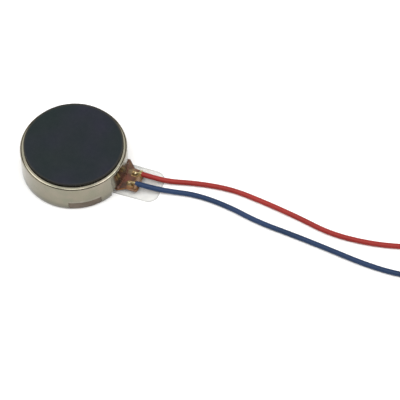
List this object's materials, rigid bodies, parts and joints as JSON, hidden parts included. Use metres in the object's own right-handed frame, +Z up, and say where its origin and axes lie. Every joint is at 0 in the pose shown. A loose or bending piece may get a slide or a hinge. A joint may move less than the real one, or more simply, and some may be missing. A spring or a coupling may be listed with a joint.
{
  "type": "vibration coin motor",
  "caption": "Round flat vibration motor with a foam pad on top, an adhesive base with pull tab, and two insulated flying leads soldered to a short flex tail.",
  "frame": {"origin": "on the motor's axis, at the underside of the release liner, which is the surface the motor stands on", "axes": "+Z up along the shaft, towards the foam pad; +X along the flex tail and the pull tab, the way the leads leave"},
  "size_m": [0.0412, 0.01, 0.0034],
  "materials": {
    "can_nickel": "satin nickel plate",
    "base_steel": "dull, heat-tinted",
    "shaft_steel": "ground",
    "pad_foam": "matt closed-cell foam",
    "adhesive_film": "translucent acrylic adhesive",
    "liner_film": "clear release film",
    "polyimide": "amber-brown film",
    "coverlay_film": "dark brown cover film",
    "trace_copper": "gold-flashed copper",
    "brush_alloy": "precious-metal spring strip",
    "solder_tin": "bright solder",
    "magnet_nickel": "nickel-plated sintered magnet",
    "washer_film": "polyester film",
    "board_laminate": "green solder mask",
    "segment_gold": "gold plated",
    "coil_copper": "enamelled copper",
    "weight_tungsten": "sintered heavy alloy",
    "frame_resin": "black moulding resin",
    "bush_bronze": "oil-filled sintered bronze",
    "glue_clear": "yellowish clear glue",
    "sealant_brown": "brown sealant",
    "insulation_red": "soft vinyl",
    "insulation_blue": "soft vinyl",
    "tinned_wire": "tinned copper strand"
  },
  "bodies": {
    "housing": {"case_cover": "can_nickel", "base_plate": "base_steel", "shaft": "shaft_steel", "foam_pad": "pad_foam", "pad_adhesive": "adhesive_film", "base_adhesive": "adhesive_film", "release_liner": "liner_film", "ring_magnet": "magnet_nickel", "flex_film": "polyimide", "flex_traces": "trace_copper", "flex_coverlay": "coverlay_film", "brush_positive": "brush_alloy", "brush_negative": "brush_alloy", "brush_solder": "solder_tin", "lower_washer": "washer_film", "upper_washer": "washer_film", "solder_positive": "solder_tin", "solder_negative": "solder_tin", "stripped_end_positive": "tinned_wire", "stripped_end_negative": "tinned_wire", "lead_glue": "glue_clear", "root_sealant": "sealant_brown", "lead_positive": "insulation_red", "lead_negative": "insulation_blue", "lead_tip_positive": "tinned_wire", "lead_tip_negative": "tinned_wire"},
    "rotor": {"bearing_bush": "bush_bronze", "rotor_board": "board_laminate", "commutator_segments": "segment_gold", "coil_a": "coil_copper", "coil_b": "coil_copper", "counterweight": "weight_tungsten", "rotor_frame": "frame_resin"}
  },
  "joints": [
    {"name": "rotor_spin", "type": "hinge", "parent": "housing", "child": "rotor", "pos_m": [0, 0, 0.002], "axis": [0, 0, 1], "continuous": true}
  ]
}
